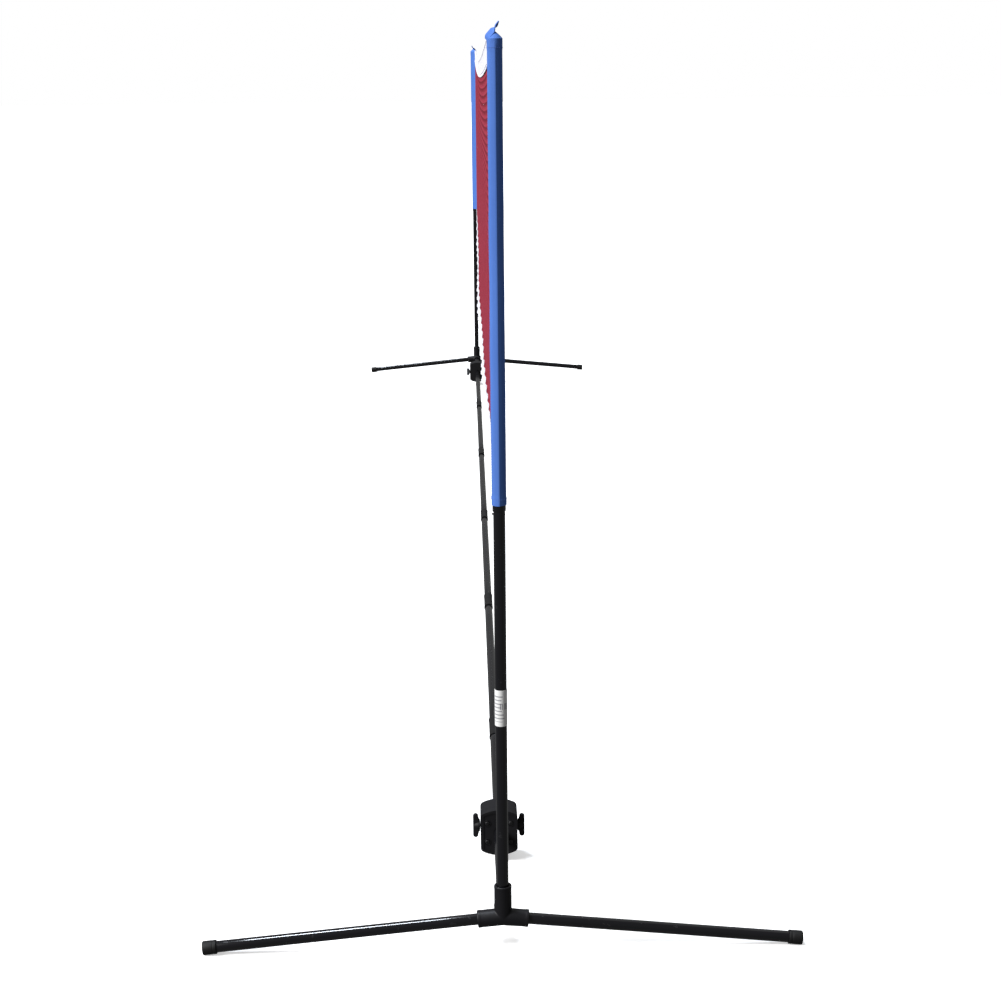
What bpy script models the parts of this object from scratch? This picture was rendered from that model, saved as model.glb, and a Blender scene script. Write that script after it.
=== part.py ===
"""Portable badminton net set: two T feet, plug-together uprights, a sectional ground bar and a sleeved net.

Metres, +Z up. The net runs along Y, the feet spread along X, and the floor is z = 0.
Each end is modelled facing its net (+Y) under an empty, and the far end's empty is turned half round.
Left and right are those of someone who stands outside that end and faces the net.
"""

import math

import bmesh
import bpy
from mathutils import Matrix

# overall
span = 6.10              # between the axes of the two uprights
gap = 0.0003             # left between faces that touch
fit = 0.0003             # radial clearance of a plug-in joint
sides = 24               # facets of a round piece
small_sides = 16         # facets of a small round piece

# tubes
tube_radius = 0.010
tube_wall = 0.0010
fit_radius = tube_radius + fit

# feet
leg_droop = math.radians(5.5)
leg_length = 0.5060
cap_wall = 0.00195
cap_length = 0.0240
cap_end = 0.0030         # thickness of the cap's closed end
cap_bite = 0.0007        # how much of the cap's rim is flattened where it stands
cap_radius = fit_radius + cap_wall

# tee
tee_wall = 0.0050
tee_arm = 0.0445         # reach of each side arm from the upright's axis
tee_rise = 0.0590        # height of the upright's socket above the feet's axis
tee_floor = 0.0080       # floor of that socket above the feet's axis
tee_core = 0.0140        # solid middle of the tee, up to where its side sockets begin
tee_radius = fit_radius + tee_wall
leg_start = tee_core + 0.0010    # from the upright's axis, inside the tee

# axis of the feet and of the ground bar at the tee, so that the drooping feet stand on their caps
cap_reach = leg_start + leg_length + gap + cap_end
bar_height = cap_reach * math.sin(leg_droop) + cap_radius * math.cos(leg_droop) - cap_bite

# clamp on the ground bar
clamp_place = 0.3840     # middle of the clamp from the upright's axis
clamp_depth = 0.0600
clamp_width = 0.0710
clamp_height = 0.0920
clamp_crown = 0.0100     # how far its top and bottom bulge
cover_depth = 0.0180     # the outer half of the clamp
cover_screw_inset = 0.0130       # from the clamp's side
cover_screw_drop = 0.0270        # from the clamp's top or bottom
cover_screw_radius = 0.0045
cover_screw_shank = 0.0016
cover_screw_head = 0.0016
cover_screw_length = 0.0110
cover_screw_x = clamp_width / 2 - cover_screw_inset
cover_screw_z = clamp_height / 2 - cover_screw_drop

# wing screws
wing_shank = 0.0030
wing_collar = 0.0075
wing_half = 0.0245       # half the knob's length
wing_reach = 0.0145      # how far it stands out of the clamp's side
wing_thick = 0.0070
wing_tip = 0.0046        # radius of the rounded wing tips
wing_turns = {"near": (0.0, 8.0), "far": (0.0, 60.0)}   # degrees, left and right

# ground bar between the two clamps
bar_joints = 5
bar_pitch = 0.98         # from one coupler to the next
first_coupler = 0.92     # from the near upright's axis
coupler_length = 0.110
coupler_wall = 0.0011
butt_gap = 0.0010        # half the space between two tube ends in a coupler or a clamp

# uprights
button_height = 0.7830
button_radius = 0.0037
button_out = 0.0030      # how far it stands out of the pole
button_in = 0.0085       # depth of its inner end below the pole's surface
flange_radius = 0.0042
flange_thick = 0.0012
upper_wall = 0.0009
upper_length = 0.7430
pole_overlap = 0.1220    # how far the lower pole runs up inside the upper one
plug_depth = 0.0150
plug_dome = 0.0060
upper_radius = fit_radius + upper_wall
upper_bottom = button_height + button_radius + gap
upper_top = upper_bottom + upper_length
lower_top = upper_bottom + pole_overlap

# sleeves
sleeve_wall = 0.0010
sleeve_tail = 0.0340     # from the upright's axis to the seam with the net
sleeve_tail_thick = 0.0030
seam_offset = 0.0100     # the seam lies this far to the left of the upright, looking in from its own end
sleeve_clear = 0.0100    # bare upper pole left below the sleeve
sleeve_shoulder = upper_top + 0.0090
sleeve_peak = sleeve_shoulder + 0.0115
sleeve_radius = upper_radius + sleeve_wall
sleeve_bottom = upper_bottom + sleeve_clear

# net
top_edge = sleeve_shoulder + 0.0060      # at the uprights
top_sag = 0.039
bottom_rise = 0.0310     # of the net's lower corners above the sleeves, halfway along
bottom_edge = sleeve_bottom + bottom_rise
bottom_sag = 0.148
bottom_tilt = 0.136      # how much lower that edge hangs at the far upright than at the near one
tape_width = 0.050
hem_width = 0.040        # the narrower tape along the net's lower edge
tape_thick = 0.0030
net_thick = 0.0020
net_columns = 36

tab_length = 0.0170
tab_width = 0.0090
tab_thick = 0.0016
tab_lean = math.radians(34)

# label
label_low = 0.414
label_high = 0.478
label_turn = math.radians(210)
label_thick = 0.0004

net_half = span / 2 - sleeve_tail - gap


def clear_scene():
    for old in list(bpy.data.objects):
        bpy.data.objects.remove(old, do_unlink=True)


def finish_of(name, color, roughness, metallic=0.0):
    made = bpy.data.materials.new(name)
    made.use_nodes = True
    shader = made.node_tree.nodes["Principled BSDF"]
    shader.inputs["Base Color"].default_value = (*color, 1.0)
    shader.inputs["Roughness"].default_value = roughness
    shader.inputs["Metallic"].default_value = metallic
    return made


def object_of(name, mesh_data, material, parent=None):
    """A linked object around a finished bmesh."""
    bmesh.ops.recalc_face_normals(mesh_data, faces=mesh_data.faces)
    mesh = bpy.data.meshes.new(name)
    mesh_data.to_mesh(mesh)
    mesh_data.free()
    mesh.shade_smooth()
    mesh.set_sharp_from_angle(angle=math.radians(35))
    mesh.materials.append(material)
    made = bpy.data.objects.new(name, mesh)
    bpy.context.scene.collection.objects.link(made)
    made.parent = parent
    return made


def empty_of(name, location, turn=0.0, parent=None):
    made = bpy.data.objects.new(name, None)
    made.location = location
    made.rotation_euler = (0.0, 0.0, turn)
    made.parent = parent
    bpy.context.scene.collection.objects.link(made)
    return made


def turned(profile, steps=sides, closed=False):
    """A bmesh spun once round Z from (radius, height) points; closed joins the last point to the first."""
    shape = bmesh.new()
    points = [shape.verts.new((radius, 0.0, height)) for radius, height in profile]
    pairs = list(zip(points, points[1:]))
    if closed:
        pairs.append((points[-1], points[0]))
    edges = [shape.edges.new(pair) for pair in pairs]
    bmesh.ops.spin(
        shape, geom=points + edges, axis=(0, 0, 1), cent=(0, 0, 0),
        angle=2 * math.pi, steps=steps, use_merge=True,
    )
    bmesh.ops.remove_doubles(shape, verts=shape.verts, dist=1e-6)
    return shape


def rod(radius, low, high, steps=sides):
    return turned([(0, low), (radius, low), (radius, high), (0, high)], steps)


def pipe(outer, inner, low, high, steps=sides):
    return turned([(inner, low), (outer, low), (outer, high), (inner, high)], steps, closed=True)


def prism(outline, low, high):
    """A bmesh of a flat outline in X and Y, extruded along Z from low to high."""
    shape = bmesh.new()
    face = shape.faces.new([shape.verts.new((x, y, low)) for x, y in outline])
    grown = bmesh.ops.extrude_face_region(shape, geom=[face])["geom"]
    raised = [item for item in grown if isinstance(item, bmesh.types.BMVert)]
    bmesh.ops.translate(shape, verts=raised, vec=(0, 0, high - low))
    return shape


def arc(centre, radius, start, end, steps):
    """Points along an arc, angles in degrees."""
    angles = [math.radians(start + (end - start) * i / steps) for i in range(steps + 1)]
    return [(centre[0] + radius * math.cos(a), centre[1] + radius * math.sin(a)) for a in angles]


def cutter_of(name, shape, target, operation="DIFFERENCE"):
    """A helper that adds to or cuts from target, and takes target's own parent."""
    helper = object_of(name, shape, target.data.materials[0], target.parent)
    helper.hide_render = True
    helper.display_type = "WIRE"
    change = target.modifiers.new(name, "BOOLEAN")
    change.operation = operation
    change.solver = "EXACT"
    change.object = helper
    return helper


def along_x(sign):
    """Turns local +Z to +X or -X."""
    return (0.0, sign * math.pi / 2, 0.0)


along_y = (-math.pi / 2, 0.0, 0.0)


def leg_turn(sign):
    return (0.0, sign * (math.pi / 2 + leg_droop), 0.0)


def make_tee(end, frame, plastic):
    middle = (0.0, 0.0, bar_height)
    tee = object_of(f"base_tee_{end}", rod(tee_radius, -tee_radius * 0.4, tee_rise), plastic, frame)
    tee.location = middle
    for word, sign in (("left", -1), ("right", 1)):
        arm = cutter_of(f"tee_arm_{word}_{end}", rod(tee_radius, 0, tee_arm), tee, "UNION")
        arm.location = middle
        arm.rotation_euler = leg_turn(sign)
    arm = cutter_of(f"tee_arm_bar_{end}", rod(tee_radius * 0.985, 0, tee_arm), tee, "UNION")
    arm.location = middle
    arm.rotation_euler = along_y
    past = 0.02
    hole = cutter_of(f"tee_socket_{end}", rod(fit_radius, tee_floor, tee_rise + past), tee)
    hole.location = middle
    for word, sign in (("left", -1), ("right", 1)):
        hole = cutter_of(f"tee_socket_{word}_{end}", rod(fit_radius, tee_core, tee_arm + past), tee)
        hole.location = middle
        hole.rotation_euler = leg_turn(sign)
    hole = cutter_of(f"tee_socket_bar_{end}", rod(fit_radius, tee_core, tee_arm + past), tee)
    hole.location = middle
    hole.rotation_euler = along_y


def make_foot(end, word, sign, frame, steel, rubber):
    middle = (0.0, 0.0, bar_height)
    leg_tip = leg_start + leg_length
    leg_shape = pipe(tube_radius, tube_radius - tube_wall, leg_start, leg_tip)
    leg = object_of(f"leg_{word}_{end}", leg_shape, steel, frame)
    leg.location = middle
    leg.rotation_euler = leg_turn(sign)
    closed_at = leg_tip + gap
    profile = [
        (0, closed_at), (fit_radius, closed_at), (fit_radius, closed_at + cap_end - cap_length),
        (cap_radius - 0.0006, closed_at + cap_end - cap_length),
        (cap_radius, closed_at + cap_end - cap_length + 0.0006),
        (cap_radius, closed_at + cap_end - 0.0015), (cap_radius - 0.0015, closed_at + cap_end),
        (0, closed_at + cap_end),
    ]
    cap = object_of(f"foot_cap_{word}_{end}", turned(profile), rubber, frame)
    cap.location = middle
    cap.rotation_euler = leg_turn(sign)
    reach = (leg_tip + 0.02) * math.cos(leg_droop)
    block = prism([(-0.05, -0.05), (0.05, -0.05), (0.05, 0.05), (-0.05, 0.05)], -0.05, 0.0)
    floor = cutter_of(f"floor_cut_{word}_{end}", block, cap)
    floor.location = (sign * (reach - 0.03), 0.0, 0.0)


def clamp_outline():
    """The clamp seen along the bar: flat sides, crowned top and bottom, in X and Z about the bar."""
    half_w = clamp_width / 2
    half_h = clamp_height / 2
    crown_radius = (half_w ** 2 + clamp_crown ** 2) / (2 * clamp_crown)
    opening = math.degrees(math.asin(half_w / crown_radius))
    top = arc((0, half_h - crown_radius), crown_radius, 90 - opening, 90 + opening, 10)
    bottom = arc((0, crown_radius - half_h), crown_radius, 270 - opening, 270 + opening, 10)
    return top + bottom


def make_clamp_half(name, near_side, far_side, frame, plastic):
    """A slice of the clamp between two distances from the upright, bored for the bar."""
    half = object_of(name, prism(clamp_outline(), -far_side, -near_side), plastic, frame)
    half.location = (0.0, 0.0, bar_height)
    half.rotation_euler = (math.pi / 2, 0.0, 0.0)
    bore = cutter_of(f"{name}_bore", rod(fit_radius, near_side - 0.02, far_side + 0.02), half)
    bore.location = half.location
    bore.rotation_euler = along_y
    return half


def wing_outline():
    """One wing knob seen along its blade: long outer edge, rounded tips, tapering in to the collar."""
    inner = clamp_width / 2 + 0.0012
    outer = clamp_width / 2 + wing_reach
    tip_x = outer - wing_tip
    tip_z = wing_half - wing_tip
    upper = arc((tip_x, tip_z), wing_tip, 0, 155, 7)
    lower = arc((tip_x, -tip_z), wing_tip, 205, 360, 7)
    return upper + [(inner + 0.0015, wing_collar), (inner + 0.0015, -wing_collar)] + lower


def make_wing_screw(end, word, sign, turn, frame, plastic):
    side = clamp_width / 2
    profile = [
        (0, fit_radius), (wing_shank, fit_radius), (wing_shank, side + gap),
        (wing_collar, side + gap), (wing_collar, side + 0.005), (0.005, side + 0.008), (0, side + 0.008),
    ]
    name = f"wing_screw_{word}_{end}"
    axis_place = (0.0, clamp_place + cover_depth / 2, bar_height)
    screw = object_of(name, turned(profile, small_sides), plastic, frame)
    screw.location = axis_place
    screw.rotation_euler = along_x(sign)
    blade_shape = prism(wing_outline(), -wing_thick / 2, wing_thick / 2)
    # outline X runs out along the screw's own axis, and outline Y across it
    bmesh.ops.transform(blade_shape, verts=blade_shape.verts, matrix=Matrix(
        ((0, -1, 0, 0), (0, 0, 1, 0), (1, 0, 0, 0), (0, 0, 0, 1))))
    bmesh.ops.rotate(blade_shape, verts=blade_shape.verts, matrix=Matrix.Rotation(math.radians(turn), 3, "Z"))
    blade = cutter_of(f"{name}_blade", blade_shape, screw, "UNION")
    blade.location = axis_place
    blade.rotation_euler = along_x(sign)


def make_cover_screw(end, number, x, z, frame, steel):
    outside = clamp_place - clamp_depth / 2
    profile = [
        (0, cover_screw_length), (cover_screw_shank, cover_screw_length), (cover_screw_shank, -gap),
        (cover_screw_radius, -gap), (cover_screw_radius, -cover_screw_head * 0.5),
        (cover_screw_radius * 0.7, -cover_screw_head), (0, -cover_screw_head),
    ]
    screw = object_of(f"cover_screw_{number}_{end}", turned(profile, 12), steel, frame)
    screw.location = (x, outside, bar_height + z)
    screw.rotation_euler = along_y


def make_clamp(end, frame, plastic, steel):
    outside = clamp_place - clamp_depth / 2
    inside = clamp_place + clamp_depth / 2
    split = outside + cover_depth
    cover = make_clamp_half(f"clamp_cover_{end}", outside, split, frame, plastic)
    body = make_clamp_half(f"clamp_body_{end}", split + gap, inside, frame, plastic)
    holes = [(x, z) for z in (cover_screw_z, -cover_screw_z) for x in (-cover_screw_x, cover_screw_x)]
    for number, (x, z) in enumerate(holes, start=1):
        bore = rod(cover_screw_shank + fit, -0.01, cover_screw_length + 0.001, 12)
        hole = cutter_of(f"cover_hole_{number}_{end}", bore, cover)
        hole.location = (x, outside, bar_height + z)
        hole.rotation_euler = along_y
        make_cover_screw(end, number, x, z, frame, steel)
    shank_hole = rod(wing_shank + fit, -clamp_width, clamp_width, small_sides)
    hole = cutter_of(f"shank_hole_{end}", shank_hole, body)
    hole.location = (0.0, clamp_place + cover_depth / 2, bar_height)
    hole.rotation_euler = along_x(1)
    for word, sign, turn in zip(("left", "right"), (-1, 1), wing_turns[end]):
        make_wing_screw(end, word, sign, turn, frame, plastic)


def make_stub(end, frame, steel):
    shape = pipe(tube_radius, tube_radius - tube_wall, tee_core + gap, clamp_place - butt_gap)
    stub = object_of(f"stub_tube_{end}", shape, steel, frame)
    stub.location = (0.0, 0.0, bar_height)
    stub.rotation_euler = along_y


def make_lower_pole(end, frame, steel):
    foot = bar_height + tee_floor + gap
    pole = object_of(
        f"lower_pole_{end}", pipe(tube_radius, tube_radius - tube_wall, foot, lower_top), steel, frame)
    hole = cutter_of(f"button_hole_{end}", rod(button_radius + fit, 0.0, 2 * tube_radius, small_sides), pole)
    hole.location = (0.0, 0.0, button_height)
    hole.rotation_euler = along_x(-1)


def make_button(end, frame, bare):
    skin = tube_radius
    flange = skin - tube_wall - 0.0020
    profile = [
        (0, skin - button_in), (button_radius, skin - button_in), (button_radius, flange - flange_thick),
        (flange_radius, flange - flange_thick), (flange_radius, flange), (button_radius, flange),
        (button_radius, skin + button_out * 0.45), (button_radius * 0.72, skin + button_out * 0.85),
        (0, skin + button_out),
    ]
    button = object_of(f"snap_button_{end}", turned(profile, small_sides), bare, frame)
    button.location = (0.0, 0.0, button_height)
    button.rotation_euler = along_x(-1)


def make_upper_pole(end, frame, steel, plastic):
    object_of(f"upper_pole_{end}", pipe(upper_radius, fit_radius, upper_bottom, upper_top), steel, frame)
    stem = fit_radius - fit
    profile = [
        (0, upper_top - plug_depth), (stem, upper_top - plug_depth), (stem, upper_top + gap),
        (upper_radius, upper_top + gap), (upper_radius, upper_top + plug_dome * 0.35),
        (upper_radius * 0.62, upper_top + plug_dome), (0, upper_top + plug_dome),
    ]
    object_of(f"pole_plug_{end}", turned(profile), plastic, frame)


def sleeve_outline():
    """A round pocket for the pole, drawn in to the seam on the net's side."""
    half = sleeve_tail_thick / 2
    left, right = (-seam_offset - half, sleeve_tail), (-seam_offset + half, sleeve_tail)
    start, end = (
        math.degrees(math.atan2(y, x) + side * math.acos(sleeve_radius / math.hypot(x, y)))
        for (x, y), side in ((left, 1), (right, -1)))
    return arc((0, 0), sleeve_radius, start, end + 360, 20) + [right, left]


def make_sleeve(end, frame, cloth):
    shape = prism(sleeve_outline(), sleeve_bottom, sleeve_shoulder)
    top = max(shape.faces, key=lambda face: face.calc_center_median().z)
    for share, rise in ((0.84, 0.55), (0.48, 0.45)):
        grown = bmesh.ops.extrude_face_region(shape, geom=[top])["geom"]
        top = next(item for item in grown if isinstance(item, bmesh.types.BMFace))
        bmesh.ops.translate(shape, verts=top.verts, vec=(0, 0, (sleeve_peak - sleeve_shoulder) * rise))
        bmesh.ops.scale(shape, verts=top.verts, vec=(share, share, 1))
    bmesh.ops.delete(shape, geom=[f for f in shape.faces if is_inner(f)], context="FACES_ONLY")
    sleeve = object_of(f"sleeve_{end}", shape, cloth, frame)
    bore_top = upper_top + plug_dome + gap
    cutter_of(f"sleeve_bore_{end}", rod(upper_radius + fit, sleeve_bottom - 0.02, bore_top), sleeve)


def is_inner(face):
    """A flat face across the sleeve that an extrusion has left inside it."""
    height = face.calc_center_median().z
    return len(face.verts) > 4 and sleeve_bottom + 0.001 < height < sleeve_peak - 0.001


def make_tab(end, frame, cloth):
    half = tab_width / 2
    flat = [(0, -tab_thick / 2), (tab_length * 0.8, -tab_thick / 2), (tab_length, 0), (tab_length * 0.8, tab_thick / 2),
            (0, tab_thick / 2)]
    tab = object_of(f"pull_tab_{end}", prism(flat, -half, half), cloth, frame)
    tab.location = (-0.0024, 0.006, sleeve_peak + gap + tab_thick / 2)
    tab.rotation_euler = (math.pi / 2, tab_lean - math.pi / 2, 0.0)


def make_end(end, place, turn, kit):
    frame = empty_of(f"end_{end}", (0.0, place, 0.0), turn)
    lifted = empty_of(f"lift_{end}", (0.0, 0.0, 0.0), 0.0, frame)
    make_tee(end, frame, kit["plastic"])
    for word, sign in (("left", -1), ("right", 1)):
        make_foot(end, word, sign, frame, kit["steel"], kit["rubber"])
    make_stub(end, frame, kit["steel"])
    make_clamp(end, frame, kit["plastic"], kit["screw"])
    make_lower_pole(end, frame, kit["steel"])
    make_button(end, frame, kit["bare"])
    make_upper_pole(end, lifted, kit["steel"], kit["plastic"])
    make_sleeve(end, lifted, kit["blue"])
    make_tab(end, lifted, kit["blue"])


def make_label(frame_place, paper):
    inner = tube_radius + gap
    outer = inner + label_thick
    shape = bmesh.new()
    corners = [(inner, label_low), (outer, label_low), (outer, label_high), (inner, label_high)]
    face = shape.faces.new([shape.verts.new((radius, 0, height)) for radius, height in corners])
    start = -math.pi / 2 - label_turn / 2
    bmesh.ops.rotate(shape, verts=shape.verts, matrix=Matrix.Rotation(start, 3, "Z"))
    bmesh.ops.spin(
        shape, geom=[face], axis=(0, 0, 1), cent=(0, 0, 0), angle=label_turn, steps=16,
    )
    label = object_of("pole_label", shape, paper)
    label.location = (0.0, frame_place, 0.0)


def make_bar(kit):
    """The ground bar: tubes butted inside couplers, from one clamp to the other."""
    near = -span / 2
    joints = [near + first_coupler + i * bar_pitch for i in range(bar_joints)]
    stops = [near + clamp_place, *joints, -near - clamp_place]
    for number, (start, stop) in enumerate(zip(stops, stops[1:]), start=1):
        shape = pipe(tube_radius, tube_radius - tube_wall, start + butt_gap, stop - butt_gap)
        tube = object_of(f"crossbar_tube_{number}", shape, kit["steel"])
        tube.location = (0.0, 0.0, bar_height)
        tube.rotation_euler = along_y
    for number, joint in enumerate(joints, start=1):
        shape = pipe(fit_radius + coupler_wall, fit_radius, -coupler_length / 2, coupler_length / 2)
        coupler = object_of(f"crossbar_coupler_{number}", shape, kit["plastic"])
        coupler.location = (0.0, joint, bar_height)
        coupler.rotation_euler = along_y


def hang(edge, sag, y):
    """Height of a net edge that hangs as a shallow parabola."""
    return edge - sag * (1 - (2 * y / span) ** 2)


def top_line(y):
    return hang(top_edge, top_sag, y)


def bottom_line(y):
    return hang(bottom_edge, bottom_sag, y) - bottom_tilt * y / span


def make_band(name, lower, upper, thick, material):
    """A thin upright band along Y between two curves, thick across X, from seam to seam."""
    shape = bmesh.new()
    before = None
    for i in range(net_columns + 1):
        y = net_half * (2 * i / net_columns - 1)
        left = seam_offset * y / net_half - thick / 2
        right = left + thick
        corners = [(left, lower(y)), (right, lower(y)), (right, upper(y)), (left, upper(y))]
        ring = [shape.verts.new((x, y, z)) for x, z in corners]
        if before is None or i == net_columns:
            shape.faces.new(ring)
        for k in range(4 if before else 0):
            shape.faces.new((before[k], before[k - 1], ring[k - 1], ring[k]))
        before = ring
    object_of(name, shape, material)


def make_net(kit):
    make_band("top_tape", lambda y: top_line(y) - tape_width, top_line, tape_thick, kit["white"])
    make_band(
        "net_panel", lambda y: bottom_line(y) + hem_width + gap,
        lambda y: top_line(y) - tape_width - gap, net_thick, kit["net"])
    make_band("bottom_tape", bottom_line, lambda y: bottom_line(y) + hem_width, tape_thick, kit["white"])


def main():
    clear_scene()
    kit = {
        "steel": finish_of("black_tube", (0.012, 0.012, 0.014), 0.25, 0.3),
        "plastic": finish_of("black_plastic", (0.014, 0.013, 0.016), 0.5),
        "rubber": finish_of("black_cap", (0.01, 0.01, 0.011), 0.65),
        "bare": finish_of("bare_steel", (0.55, 0.55, 0.56), 0.3, 1.0),
        "screw": finish_of("black_screw", (0.03, 0.03, 0.032), 0.4, 0.6),
        "blue": finish_of("blue_cloth", (0.07, 0.16, 0.50), 0.75),
        "white": finish_of("white_tape", (0.86, 0.85, 0.88), 0.8),
        "net": finish_of("maroon_net", (0.32, 0.03, 0.06), 0.7),
        "paper": finish_of("white_label", (0.85, 0.85, 0.84), 0.5),
    }
    make_end("near", -span / 2, 0.0, kit)
    make_end("far", span / 2, math.pi, kit)
    make_label(-span / 2, kit["paper"])
    make_bar(kit)
    make_net(kit)


main()
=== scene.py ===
import math
import random

import bmesh
import bpy
from mathutils import Matrix, Vector, noise


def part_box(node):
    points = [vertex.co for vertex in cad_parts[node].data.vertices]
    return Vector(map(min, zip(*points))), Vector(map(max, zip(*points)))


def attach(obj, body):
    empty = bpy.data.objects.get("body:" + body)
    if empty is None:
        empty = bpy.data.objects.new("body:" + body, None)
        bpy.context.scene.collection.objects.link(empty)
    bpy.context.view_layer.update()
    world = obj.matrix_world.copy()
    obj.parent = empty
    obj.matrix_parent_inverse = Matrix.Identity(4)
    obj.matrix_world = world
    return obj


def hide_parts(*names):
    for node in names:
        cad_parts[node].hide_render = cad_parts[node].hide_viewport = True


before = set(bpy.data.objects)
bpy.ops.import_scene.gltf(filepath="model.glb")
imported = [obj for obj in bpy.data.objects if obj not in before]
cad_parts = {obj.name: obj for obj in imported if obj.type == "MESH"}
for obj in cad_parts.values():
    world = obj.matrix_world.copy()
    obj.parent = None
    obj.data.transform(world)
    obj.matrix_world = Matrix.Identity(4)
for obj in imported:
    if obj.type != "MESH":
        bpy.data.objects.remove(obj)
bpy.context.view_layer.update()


# shader tools

class Wire:
    # a socket that adds its own Math nodes when an expression uses it
    def __init__(self, finish, socket):
        self.finish = finish
        self.socket = socket

    def math(self, operation, *others):
        values = dict(enumerate((self, *others)))
        return self.finish.node("ShaderNodeMath", {"operation": operation}, values)

    def __add__(self, other):
        return self.math("ADD", other)

    def __sub__(self, other):
        return self.math("SUBTRACT", other)

    def __rsub__(self, other):
        return self.finish.node("ShaderNodeMath", {"operation": "SUBTRACT"}, {0: other, 1: self})

    def __mul__(self, other):
        return self.math("MULTIPLY", other)

    def __gt__(self, other):
        return self.math("GREATER_THAN", other)

    def __lt__(self, other):
        return self.math("LESS_THAN", other)

    __radd__ = __add__
    __rmul__ = __mul__

    def wave(self):
        return self.math("SINE")

    def held(self):
        return self.finish.node("ShaderNodeClamp", {}, {0: self})


class Finish:
    # one material: a Principled shader, its constants, and the nodes that feed it
    def __init__(self, name, **constants):
        self.material = bpy.data.materials.new(name)
        self.material.use_nodes = True
        self.tree = self.material.node_tree
        self.shader = self.tree.nodes["Principled BSDF"]
        for word, value in constants.items():
            self.put(self.shader.inputs[word.replace("_", " ")], value)

    def put(self, socket, value):
        if isinstance(value, Wire):
            self.tree.links.new(value.socket, socket)
        else:
            socket.default_value = value

    def node(self, kind, settings=None, inputs=None, output=0):
        made = self.tree.nodes.new(kind)
        for word, value in (settings or {}).items():
            setattr(made, word, value)
        for word, value in (inputs or {}).items():
            self.put(made.inputs[word], value)
        return Wire(self, made.outputs[output])

    def place(self):
        return self.node("ShaderNodeTexCoord", output="Object")

    def cloth(self):
        # the cloth's own coordinates in metres: across it, then along it
        flat = self.node("ShaderNodeUVMap", {"uv_map": "cloth"})
        return [self.node("ShaderNodeSeparateXYZ", {}, {0: flat}, axis) for axis in ("X", "Y")]

    def speckle(self, scale, detail=3.0, stretch=(1, 1, 1), source=None):
        spread = self.node("ShaderNodeMapping", {}, {"Vector": source or self.place(), "Scale": stretch})
        return self.node("ShaderNodeTexNoise", {}, {"Vector": spread, "Scale": scale, "Detail": detail})

    def blended(self, factor, first, second):
        return self.node("ShaderNodeMix", {"data_type": "RGBA"}, {0: factor, 6: first, 7: second}, 2)

    def bump(self, height, strength, depth):
        self.put(self.shader.inputs["Normal"], self.node(
            "ShaderNodeBump", {}, {"Height": height, "Strength": strength, "Distance": depth}))

    def show(self, **values):
        for word, value in values.items():
            self.put(self.shader.inputs[word.replace("_", " ")], value)
        return self.material


def tone(red, green, blue):
    return (red, green, blue, 1.0)


finishSizes = {
    "tubeBlack": tone(0.0050, 0.0050, 0.0065),
    "tubeScuff": tone(0.020, 0.020, 0.022),
    "plasticBlack": tone(0.0060, 0.0058, 0.0075),
    "plasticPale": tone(0.018, 0.017, 0.020),
    "capBlack": tone(0.0065, 0.0063, 0.0065),
    "blueDeep": tone(0.055, 0.138, 0.460),
    "blueLight": tone(0.092, 0.210, 0.620),
    "white": tone(0.88, 0.87, 0.92),
    # lilac painted shade for the white tape
    "whiteShade": tone(0.74, 0.73, 0.82),
    "maroon": tone(0.19, 0.011, 0.024),
    "maroonLight": tone(0.33, 0.032, 0.062),
    "weavePitch": 0.0011,        # one thread to the next in the sleeve cloth
    "webPitch": 0.0016,          # one rib to the next in the tapes
}


def tubeFinish():
    # gloss paint over steel: fine orange peel, faint rubbed streaks along the tube
    made = Finish("black_tube_paint", Specular_IOR_Level=0.34, Coat_Roughness=0.08, Coat_IOR=1.45)
    peel = made.speckle(900, 2)
    rub = made.speckle(60, 5)
    scuff = (rub > 0.69) * made.speckle(420, 2)
    made.bump(peel + rub * 0.6, 0.035, 0.0004)
    return made.show(
        Base_Color=made.blended(scuff, finishSizes["tubeBlack"], finishSizes["tubeScuff"]),
        Roughness=rub * 0.10 + scuff * 0.20 + 0.14, Coat_Weight=0.5 - scuff * 0.3)


def plasticFinish(name, dark, pale, grain, roughness):
    # moulded plastic: spark-eroded grain, slight mottling, dust caught in the grain
    made = Finish(name, Specular_IOR_Level=0.28)
    fine = made.speckle(grain, 3)
    cloud = made.speckle(38, 4)
    dust = (cloud - 0.52).held() * 2.2 * fine
    made.bump(fine + cloud * 0.4, 0.32, 0.0005)
    return made.show(
        Base_Color=made.blended(dust.held(), dark, pale), Roughness=fine * 0.16 + cloud * 0.10 + roughness)


def steelFinish():
    # zinc plate: bright, with turned rings and a few dull patches
    made = Finish("bare_steel_plate", Metallic=1.0)
    cloud = made.speckle(140, 4)
    lines = made.speckle(700, 2, (1, 1, 9))
    made.bump(lines, 0.12, 0.0002)
    return made.show(
        Base_Color=made.blended(cloud, tone(0.46, 0.46, 0.48), tone(0.72, 0.72, 0.74)),
        Roughness=cloud * 0.22 + lines * 0.10 + 0.14)


def screwFinish():
    # black zinc on small screws: dull, rubbed a little brighter in places
    made = Finish("black_screw_plate", Metallic=0.6)
    cloud = made.speckle(300, 4)
    made.bump(made.speckle(1500, 2), 0.15, 0.0002)
    return made.show(
        Base_Color=made.blended(cloud, tone(0.010, 0.010, 0.011), tone(0.045, 0.045, 0.048)),
        Roughness=cloud * 0.2 + 0.36)


def weave(made, pitch, across, along):
    # plain weave: threads rise and dip in turn across and along the cloth
    turn = 2 * math.pi / pitch
    return (across * turn).wave() * (along * turn).wave() * 0.5 + 0.5


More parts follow.
